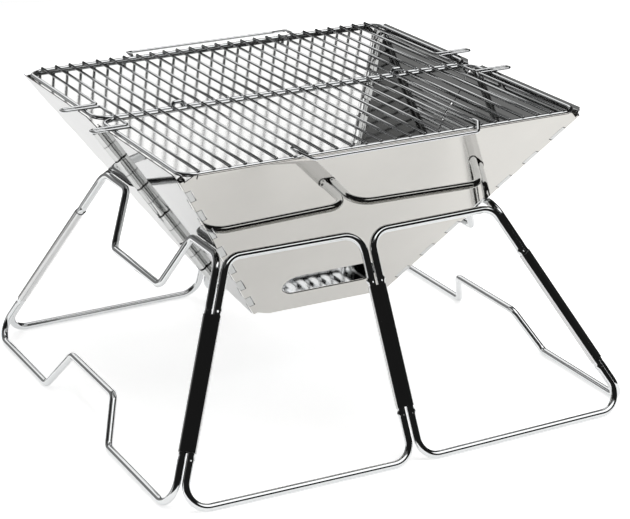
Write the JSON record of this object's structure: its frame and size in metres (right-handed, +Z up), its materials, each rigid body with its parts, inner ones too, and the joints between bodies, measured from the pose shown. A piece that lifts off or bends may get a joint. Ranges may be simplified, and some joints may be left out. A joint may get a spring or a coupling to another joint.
{
  "type": "folding camp grill",
  "caption": "Folding camp grill: an inverted pyramid firebox of hinged steel sheets held in a ring of hinged wire loops, with two wire grates on top.",
  "frame": {"origin": "centre of the footprint, on the ground under the wire loops", "axes": "+Z up, -Y front of the grill with the long grate handle, +X to the right seen from the front"},
  "size_m": [0.4706, 0.485, 0.2917],
  "materials": {
    "mirror_sheet": "polished stainless sheet, mirror bright",
    "sleeve_sheet": "polished stainless sheet",
    "stand_wire": "bright chrome plated wire",
    "grate_wire": "bright chrome plated wire",
    "hinge_pin": "plain drawn steel",
    "plate_steel": "satin stainless sheet"
  },
  "bodies": {
    "loop_left": {"stand_loop_left": "stand_wire"},
    "sleeve_front_left": {"sleeve_front_left": "sleeve_sheet"},
    "loop_front_left": {"stand_loop_front_left": "stand_wire"},
    "sleeve_front_middle": {"sleeve_front_middle": "sleeve_sheet"},
    "loop_front_right": {"stand_loop_front_right": "stand_wire"},
    "sleeve_front_right": {"sleeve_front_right": "sleeve_sheet"},
    "loop_right": {"stand_loop_right": "stand_wire"},
    "sleeve_back_left": {"sleeve_back_left": "sleeve_sheet"},
    "loop_back_left": {"stand_loop_back_left": "stand_wire"},
    "sleeve_back_middle": {"sleeve_back_middle": "sleeve_sheet"},
    "loop_back_right": {"stand_loop_back_right": "stand_wire"},
    "sleeve_back_right": {"sleeve_back_right": "sleeve_sheet"},
    "panel_front": {"panel_front": "mirror_sheet", "hinge_pin_front_left": "hinge_pin", "hinge_pin_front_right": "hinge_pin"},
    "panel_left_front": {"panel_left_front": "mirror_sheet", "hinge_pin_left_middle": "hinge_pin"},
    "panel_left_back": {"panel_left_back": "mirror_sheet"},
    "panel_back": {"panel_back": "mirror_sheet", "hinge_pin_back_left": "hinge_pin", "hinge_pin_back_right": "hinge_pin"},
    "panel_right_front": {"panel_right_front": "mirror_sheet", "hinge_pin_right_middle": "hinge_pin"},
    "panel_right_back": {"panel_right_back": "mirror_sheet"},
    "charcoal_grate": {"charcoal_grate": "plate_steel"},
    "ash_plate": {"ash_plate": "plate_steel"},
    "grate_front": {"grate_front": "grate_wire", "grate_handle_front": "grate_wire"},
    "grate_back": {"grate_back": "grate_wire", "grate_handle_back": "grate_wire"}
  },
  "joints": [
    {"name": "firebox_lift", "type": "slide", "parent": "loop_left", "child": "panel_front", "axis": [0, 0, 1], "range_m": [0, 0.3]},
    {"name": "fold_front_left_outer", "type": "hinge", "parent": "loop_left", "child": "sleeve_front_left", "pos_m": [-0.18696, -0.18362, 0.09373], "axis": [0.4064, 0.4117, 0.8157], "range_deg": [0, 51.35]},
    {"name": "fold_front_left_inner", "type": "hinge", "parent": "sleeve_front_left", "child": "loop_front_left", "pos_m": [-0.1812, -0.18945, 0.0938], "axis": [0.4064, 0.4117, 0.8157], "range_deg": [0, 51.35]},
    {"name": "fold_front_middle_left", "type": "hinge", "parent": "loop_front_left", "child": "sleeve_front_middle", "pos_m": [-0.0045, -0.19205, 0.09563], "axis": [0, 0.4576, 0.8892], "range_deg": [-91.02, 0]},
    {"name": "fold_front_middle_right", "type": "hinge", "parent": "sleeve_front_middle", "child": "loop_front_right", "pos_m": [0.0045, -0.19205, 0.09563], "axis": [0, 0.4576, 0.8892], "range_deg": [-91.02, 0]},
    {"name": "fold_front_right_inner", "type": "hinge", "parent": "loop_front_right", "child": "sleeve_front_right", "pos_m": [0.1812, -0.18945, 0.0938], "axis": [-0.4064, 0.4117, 0.8157], "range_deg": [0, 51.35]},
    {"name": "fold_front_right_outer", "type": "hinge", "parent": "sleeve_front_right", "child": "loop_right", "pos_m": [0.18696, -0.18362, 0.09373], "axis": [-0.4064, 0.4117, 0.8157], "range_deg": [0, 51.35]},
    {"name": "fold_back_left_outer", "type": "hinge", "parent": "loop_left", "child": "sleeve_back_left", "pos_m": [-0.18696, 0.18362, 0.09373], "axis": [0.4064, -0.4117, 0.8157], "range_deg": [-51.35, 0]},
    {"name": "fold_back_left_inner", "type": "hinge", "parent": "sleeve_back_left", "child": "loop_back_left", "pos_m": [-0.1812, 0.18945, 0.0938], "axis": [0.4064, -0.4117, 0.8157], "range_deg": [-51.35, 0]},
    {"name": "fold_back_middle_left", "type": "hinge", "parent": "loop_back_left", "child": "sleeve_back_middle", "pos_m": [-0.0045, 0.19205, 0.09563], "axis": [0, -0.4576, 0.8892], "range_deg": [0, 91.02]},
    {"name": "fold_back_middle_right", "type": "hinge", "parent": "sleeve_back_middle", "child": "loop_back_right", "pos_m": [0.0045, 0.19205, 0.09563], "axis": [0, -0.4576, 0.8892], "range_deg": [0, 91.02]},
    {"name": "fold_back_right_inner", "type": "hinge", "parent": "loop_back_right", "child": "sleeve_back_right", "pos_m": [0.17846, 0.19005, 0.09274], "axis": [-0.4064, -0.4117, 0.8157], "range_deg": [-51.35, 0]},
    {"name": "fold_panel_left_front", "type": "hinge", "parent": "panel_front", "child": "panel_left_front", "pos_m": [-0.13122, -0.1204, 0.188], "axis": [-0.4753, -0.5168, 0.712], "range_deg": [-109.04, 0]},
    {"name": "fold_panel_left_back", "type": "hinge", "parent": "panel_left_front", "child": "panel_left_back", "pos_m": [-0.14201, 0, 0.193], "axis": [-0.5552, 0, 0.8317], "range_deg": [0, 180]},
    {"name": "fold_panel_back", "type": "hinge", "parent": "panel_left_back", "child": "panel_back", "pos_m": [-0.13122, 0.1204, 0.188], "axis": [-0.4753, 0.5168, 0.712], "range_deg": [-109.04, 0]},
    {"name": "fold_panel_right_front", "type": "hinge", "parent": "panel_front", "child": "panel_right_front", "pos_m": [0.13122, -0.1204, 0.188], "axis": [0.4753, -0.5168, 0.712], "range_deg": [0, 109.04]},
    {"name": "fold_panel_right_back", "type": "hinge", "parent": "panel_right_front", "child": "panel_right_back", "pos_m": [0.14201, 0, 0.193], "axis": [0.5552, 0, 0.8317], "range_deg": [-180, 0]},
    {"name": "charcoal_grate_lift", "type": "slide", "parent": "loop_left", "child": "charcoal_grate", "axis": [0, 0, 1], "range_m": [0, 1.05]},
    {"name": "ash_plate_lift", "type": "slide", "parent": "loop_left", "child": "ash_plate", "axis": [0, 0, 1], "range_m": [0, 1]},
    {"name": "grate_front_lift", "type": "slide", "parent": "charcoal_grate", "child": "grate_front", "axis": [0, 0, 1], "range_m": [0, 0.12]},
    {"name": "grate_back_lift", "type": "slide", "parent": "charcoal_grate", "child": "grate_back", "axis": [0, 0, 1], "range_m": [0, 0.12]}
  ],
  "couplings": [
    {"joint": "fold_front_left_outer", "follows": "firebox_lift", "rad_per_m": 2.9876},
    {"joint": "fold_front_left_inner", "follows": "firebox_lift", "rad_per_m": 2.9876},
    {"joint": "fold_front_middle_left", "follows": "firebox_lift", "rad_per_m": -5.2953},
    {"joint": "fold_front_middle_right", "follows": "firebox_lift", "rad_per_m": -5.2953},
    {"joint": "fold_front_right_inner", "follows": "firebox_lift", "rad_per_m": 2.9876},
    {"joint": "fold_front_right_outer", "follows": "firebox_lift", "rad_per_m": 2.9876},
    {"joint": "fold_back_left_outer", "follows": "firebox_lift", "rad_per_m": -2.9876},
    {"joint": "fold_back_left_inner", "follows": "firebox_lift", "rad_per_m": -2.9876},
    {"joint": "fold_back_middle_left", "follows": "firebox_lift", "rad_per_m": 5.2953},
    {"joint": "fold_back_middle_right", "follows": "firebox_lift", "rad_per_m": 5.2953},
    {"joint": "fold_back_right_inner", "follows": "firebox_lift", "rad_per_m": -2.9876},
    {"joint": "fold_panel_left_front", "follows": "firebox_lift", "rad_per_m": -6.3434},
    {"joint": "fold_panel_left_back", "follows": "firebox_lift", "rad_per_m": 10.472},
    {"joint": "fold_panel_back", "follows": "firebox_lift", "rad_per_m": -6.3434},
    {"joint": "fold_panel_right_front", "follows": "firebox_lift", "rad_per_m": 6.3434},
    {"joint": "fold_panel_right_back", "follows": "firebox_lift", "rad_per_m": -10.472},
    {"joint": "charcoal_grate_lift", "follows": "firebox_lift", "ratio": 3.5},
    {"joint": "ash_plate_lift", "follows": "firebox_lift", "ratio": 3.3333}
  ]
}
